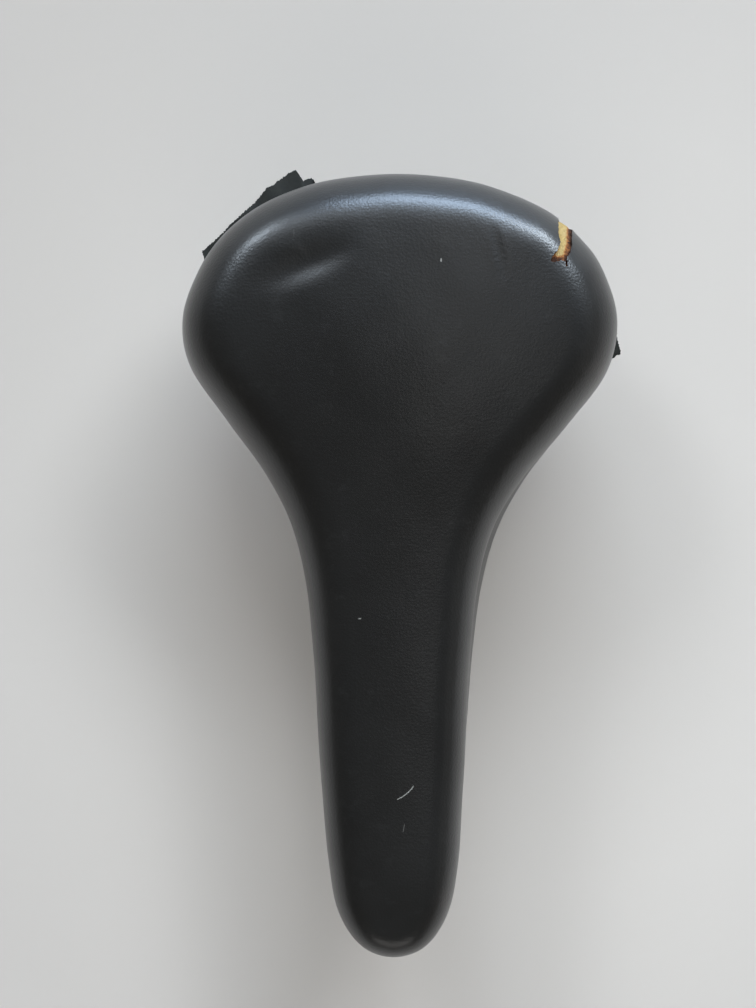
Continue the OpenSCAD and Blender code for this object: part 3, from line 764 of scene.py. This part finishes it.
def hem_strip(name, edge, spread, sag, seed):
    """A thin torn strip that comes out from under the rim, out to the plan line 'edge'."""
    rng = np.random.default_rng(seed)
    edge = np.asarray(edge, float)
    runs = np.concatenate([[0], np.cumsum(np.linalg.norm(np.diff(edge, axis=0), axis=1))])
    count = int(runs[-1] / 0.35)
    at = np.linspace(0, runs[-1], count)
    tip = np.stack([np.interp(at, runs, edge[:, 0]), np.interp(at, runs, edge[:, 1])], 1)
    foot = np.array([DENSE[np.argmin(np.hypot(*(DENSE - t).T))] for t in tip])
    inward = np.array([0.0, 66.0]) - foot          # towards the middle of the wide part
    foot = foot + inward / np.linalg.norm(inward, axis=1)[:, None] * 2.6
    outward = (tip - foot) / np.maximum(np.linalg.norm(tip - foot, axis=1), 1e-6)[:, None]
    tip = tip + outward * (spread + rng.normal(0, 0.12, count))[:, None]
    reach = np.linalg.norm(tip - foot, axis=1)
    steps = 9
    upper = []
    for k in range(steps):
        t = k / (steps - 1)
        p = foot + (tip - foot) * t ** 1.5
        z = shape_value(EDGE_Z, foot[:, 1]) + HEM_OVER_EDGE - sag * t * t * reach / reach.max()
        z = z + 0.25 * np.sin(at * 0.5 + seed) * t
        upper.append(to_row(p, z))
    upper = np.array(upper)
    obj = mesh_object(name, upper.reshape(-1, 3), grid_faces(steps, count, closed=False), TORN)
    weld(obj, 0.01)
    mod = obj.modifiers.new("thickness", "SOLIDIFY")
    mod.thickness = 1.0 * MM
    mod.offset = 0
    apply_modifiers(obj)
    smooth(obj, 50)
    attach(obj, "saddle")


LEFT_EDGE = [(-68.2, 28.8), (-69.2, 26.4), (-67.2, 24.4), (-65.0, 22.8), (-62.0, 19.8),
             (-59.9, 17.4), (-54.3, 12.2), (-50.5, 8.9), (-48.8, 6.7), (-46.7, 4.0), (-44.2, 2.9),
             (-42.5, 1.2), (-39.0, -1.3), (-37.8, -1.7), (-36.6, -2.5), (-35.5, -0.4),
             (-34.1, 1.6), (-32.3, 0.7), (-30.9, 0.3), (-30.3, 2.2), (-29.6, 3.8)]
hem_strip("torn_hem_left", LEFT_EDGE, 1.0, 0.8, 3)
RIGHT_EDGE = [(69.4, 28.6), (71.0, 29.6), (73.6, 34.6), (75.7, 41.4), (77.1, 48.4), (77.3, 54.4),
              (78.8, 60.0), (77.4, 60.2), (76.4, 61.4), (75.0, 60.8)]
hem_strip("torn_hem_right", RIGHT_EDGE, 0.4, 0.5, 5)

# ---- Staples -----------------------------------------------------------------------------------

def wire_sweep(points, radius_mm, sides=8):
    """Verts and faces of a round wire along points (mm), closed at both ends."""
    pts = np.asarray(points, float)
    tang = np.gradient(pts, axis=0)
    tang /= np.linalg.norm(tang, axis=1)[:, None]
    ref = np.array([0.0, 0.0, 1.0])
    verts, faces = [], []
    for p, t in zip(pts, tang):
        a = np.cross(t, ref)
        if np.linalg.norm(a) < 0.2:
            a = np.cross(t, [1.0, 0, 0])
        a /= np.linalg.norm(a)
        b = np.cross(t, a)
        for k in range(sides):
            w = 2 * math.pi * k / sides
            verts.append(p + radius_mm * (math.cos(w) * a + math.sin(w) * b))
    for r in range(len(pts) - 1):
        for k in range(sides):
            m = (k + 1) % sides
            faces.append((r * sides + k, r * sides + m, (r + 1) * sides + m, (r + 1) * sides + k))
    faces.append(tuple(range(sides))[::-1])
    faces.append(tuple((len(pts) - 1) * sides + k for k in range(sides)))
    return verts, faces


def loose_parts(node):
    """The vertices of each of a CAD node's separate solids, in mm."""
    bm = bmesh.new()
    bm.from_mesh(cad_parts[node].data)
    seen, found = set(), []
    bmesh.ops.remove_doubles(bm, verts=bm.verts, dist=1e-6)
    bm.verts.ensure_lookup_table()
    for v in bm.verts:
        if v.index in seen:
            continue
        stack, group = [v], []
        seen.add(v.index)
        while stack:
            a = stack.pop()
            group.append(a.co.copy())
            for e in a.link_edges:
                b = e.other_vert(a)
                if b.index not in seen:
                    seen.add(b.index)
                    stack.append(b)
        found.append(np.array(group) / MM)
    bm.free()
    return found


STAPLE_R = 0.42
staple_verts, staple_faces = [], []
for part in loose_parts("cover_staples"):
    centre = part.mean(0)
    flat = part[:, :2] - centre[:2]
    along = np.linalg.svd(flat, full_matrices=False)[2][0]
    inward = np.array([-along[1], along[0]])
    spine_y = np.clip(centre[1], REAR_Y - SPINE_NOSE, REAR_Y - SPINE_REAR)
    if np.dot(inward, np.array([0.0, spine_y]) - centre[:2]) < 0:
        inward = -inward
    half = np.abs(flat @ along).max() - 0.3
    # One half of the wire: out of the hem, round the bend and on to the crown
    leg = [(half, -1.2), (half, -0.5), (half - 0.12, -0.1), (half - 0.5, 0.05)]
    path = [(-a, b) for a, b in leg] + leg[::-1]
    points = [np.array([*(centre[:2] + along * a + inward * b), centre[2] + RNG.normal(0, 0.02)])
              for a, b in path]
    verts, faces = wire_sweep(points, STAPLE_R)
    first = len(staple_verts)
    staple_verts += verts
    staple_faces += [tuple(i + first for i in face) for face in faces]
staples = mesh_object("hem_staples", staple_verts, staple_faces, STAPLE_STEEL)
weld(staples, 0.0005)
smooth(staples, 40)
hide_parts("cover_staples")
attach(staples, "saddle")

# ---- The clamp's threaded stud -------------------------------------------------------------------

stud_low, stud_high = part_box("clamp_stud")
STUD_R = (stud_high.z - stud_low.z) / MM / 2
STUD_Y = (stud_high.y + stud_low.y) / MM / 2
STUD_Z = (stud_high.z + stud_low.z) / MM / 2
THREAD_PITCH, THREAD_DEPTH, END_CHAMFER = 1.25, 0.62, 0.9


def threaded_stud():
    sides, per_pitch = 28, 8
    start, stop = stud_low.x / MM, stud_high.x / MM
    turn = np.linspace(0, 2 * np.pi, sides, endpoint=False)
    rings = []
    for x in np.arange(start, stop + 1e-6, THREAD_PITCH / per_pitch):
        phase = (x / THREAD_PITCH - turn / (2 * np.pi)) % 1.0
        groove = np.clip((np.abs(phase - 0.5) * 2 - 0.15) / 0.75, 0, 1)
        r = np.minimum(STUD_R - THREAD_DEPTH * groove,
                       STUD_R - END_CHAMFER + min(x - start, stop - x))
        rings.append(np.stack([np.full(sides, x), STUD_Y + r * np.cos(turn),
                               STUD_Z + r * np.sin(turn)], 1))
    faces = grid_faces(len(rings), sides)
    faces.append(list(range(sides)))
    faces.append([(len(rings) - 1) * sides + k for k in range(sides)][::-1])
    obj = mesh_object("threaded_stud", np.concatenate(rings), faces, FASTENER_STEEL)
    weld(obj, 0.0005)
    smooth(obj, 35)
    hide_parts("clamp_stud")
    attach(obj, "clamp")


threaded_stud()

# ---- CAD nodes that stay: their materials and softened edges -------------------------------------

# Each node's material and the width of its softened edges, in mm
KEPT = {
    "base_shell": (BASE_PLASTIC, 0.0), "nose_socket": (SOCKET_PLASTIC, 0.8),
    "rear_socket_left": (SOCKET_PLASTIC, 0.5), "rear_socket_right": (SOCKET_PLASTIC, 0.5),
    "nose_socket_screw": (SCREW_STEEL, 0.15), "rear_screws_left": (SCREW_STEEL, 0.15),
    "rear_screws_right": (SCREW_STEEL, 0.15),
    "rail_left": (RAIL_STEEL, 0.0), "rail_right": (RAIL_STEEL, 0.0),
    "post_strap": (CLAMP_STEEL, 0.25),
    "inner_cheek_left": (CLAMP_STEEL, 0.3), "inner_cheek_right": (CLAMP_STEEL, 0.3),
    "outer_cheek_left": (CLAMP_STEEL, 0.6), "outer_cheek_right": (CLAMP_STEEL, 0.6),
    "washer_left": (FASTENER_STEEL, 0.2), "washer_right": (FASTENER_STEEL, 0.2),
    "nut_left": (FASTENER_STEEL, 0.15), "nut_right": (FASTENER_STEEL, 0.15),
}
for node, (material, bevel) in KEPT.items():
    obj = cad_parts[node]
    obj.data.materials.clear()
    obj.data.materials.append(material)
    if bevel:
        mod = obj.modifiers.new("soft_edges", "BEVEL")
        mod.width = bevel * MM
        mod.segments = 2
        mod.limit_method = "ANGLE"
        mod.angle_limit = math.radians(40)

# ---- Floor, light and camera ---------------------------------------------------------------------

def floor_material():
    """Pale, with painted shade: darker towards the rear left and away from the saddle, where less
    light falls.
    """
    n = Nodes("floor")
    place = n.add("ShaderNodeSeparateXYZ")
    n.link(n.coord, place.inputs[0])
    # Painted shade across the floor, darker towards the rear left, with a little random tone added
    painted_shade_slope = n.math("SUBTRACT", place.outputs["Y"], n.math("MULTIPLY", place.outputs["X"], 0.45))
    tone = n.math("ADD", n.remap(painted_shade_slope, -0.25, 0.30, 0.0, 0.8),
                  n.math("MULTIPLY", n.noise(3.0, 2, 0.5), 0.2))
    # Painted shade, darker away from the saddle where the light falls off
    away = n.add("ShaderNodeVectorMath", operation="DISTANCE")
    n.link(n.coord, away.inputs[0])
    away.inputs[1].default_value = (0.05, 0.03, 0)
    shade = n.mix(tone, (0.61, 0.575, 0.54, 1), (0.465, 0.434, 0.402, 1))
    shade = n.mix(n.remap(away.outputs["Value"], 0.15, 0.26, 0.0, 0.35), shade,
                  (0.38, 0.352, 0.33, 1))
    return n.set(color=shade, rough=0.62, specular=0.35,
                 normal=n.bump(n.noise(500, 3, 0.6), 0.05, 0.15))


bpy.ops.mesh.primitive_plane_add(size=8, location=(0, 0, cad_low.z))
floor = bpy.context.active_object
floor.name = "floor"
floor.data.materials.append(floor_material())

SCENE.world = bpy.data.worlds.new("world")
SCENE.world.use_nodes = True
background = SCENE.world.node_tree.nodes["Background"]
background.inputs[0].default_value = (1.0, 0.96, 0.89, 1)
background.inputs[1].default_value = 0.17


def area_light(name, place, aim, size, radiance, color, seen="both"):
    data = bpy.data.lights.new(name, "AREA")
    data.shape = "RECTANGLE"
    data.size, data.size_y = size
    data.energy = radiance * math.pi * size[0] * size[1]
    data.color = color
    obj = bpy.data.objects.new(name, data)
    obj.location = place
    obj.rotation_euler = (Vector(aim) - Vector(place)).to_track_quat("-Z", "Y").to_euler()
    obj.visible_diffuse = seen != "gloss"
    obj.visible_glossy = seen != "fill"
    SCENE.collection.objects.link(obj)


LIT_POINT = (0.0, 0.03, 0.04)
COOL, COOLER, WARM = (0.78, 0.89, 1.0), (0.60, 0.77, 1.0), (1.0, 0.98, 0.95)
SKY, PALE_SKY, DEEP_SKY = (0.86, 0.93, 1.0), (0.80, 0.90, 1.0), (0.72, 0.85, 1.0)
# Each light: the direction it comes from (degrees clockwise from the rear, and above the floor),
# its distance, its size, its radiance, its colour and what it shows in. "gloss" lights make the
# sheen, "fill" lights the shade.
LIGHTS = [
    ("window_right", 38, 25, 9, (3.1, 1.9), 38, COOL, "gloss"),
    ("window_left", -39, 24.5, 9, (2.1, 1.8), 27, COOL, "gloss"),
    ("window_middle", 8, 23.5, 9, (5.0, 2.4), 25, COOLER, "gloss"),
    ("wall_over_window", 0, 39, 7, (8.0, 1.9), 2.3, SKY, "both"),
    ("wall_higher", 0, 54, 7, (8.0, 1.9), 0.8, (0.97, 0.98, 1.0), "gloss"),
    ("key_right", 36, 37, 9, (3.2, 2.2), 20.3, SKY, "fill"),
    ("key_left", -36, 37, 9, (2.4, 2.2), 15, SKY, "fill"),
    ("key_middle", 4, 37, 9, (5.0, 2.2), 13.0, PALE_SKY, "fill"),
    ("key_low", 0, 21, 9, (8.0, 2.0), 8, DEEP_SKY, "fill"),
    ("wall_right", 85, 22, 5, (5.0, 2.6), 0.2, (1.0, 0.99, 0.96), "both"),
    ("front_fill", 180, 42, 6, (5.0, 2.2), 1.25, WARM, "fill"),
    ("wall_front", 180, 25, 6, (5.0, 2.2), 1.35, WARM, "both"),
]
for name, turn, lift, away, size, radiance, color, seen in LIGHTS:
    flat = away * math.cos(math.radians(lift))
    place = (flat * math.sin(math.radians(turn)), flat * math.cos(math.radians(turn)),
             away * math.sin(math.radians(lift)))
    area_light(name, place, LIT_POINT, size, radiance, color, seen)
area_light("ceiling", (0.40, 0.6, 2.3), (0.40, 0.6, 0.0), (0.40, 1.9), 1.129, (1.0, 0.985, 0.96))

SCENE.view_settings.view_transform = "Standard"
SCENE.view_settings.look = "None"

# The camera looks straight down, in mm
FIELD_MM = 351.0                     # height of the view at the rim's level
RIM_Z = 52.5
CAMERA_UP = 520.0                    # camera above the rim's level
VIEW_X, VIEW_Y = -6.5, 28.6
ROLL = math.radians(0.7)
SENSOR_MM = 24.0
camera_data = bpy.data.cameras.new("camera")
camera_data.sensor_fit = "VERTICAL"
camera_data.sensor_height = SENSOR_MM
camera_data.lens = SENSOR_MM * CAMERA_UP / FIELD_MM
camera = bpy.data.objects.new("camera", camera_data)
camera.location = (VIEW_X * MM, VIEW_Y * MM, (RIM_Z + CAMERA_UP) * MM)
camera.rotation_euler = (0, 0, ROLL)
SCENE.collection.objects.link(camera)
SCENE.camera = camera
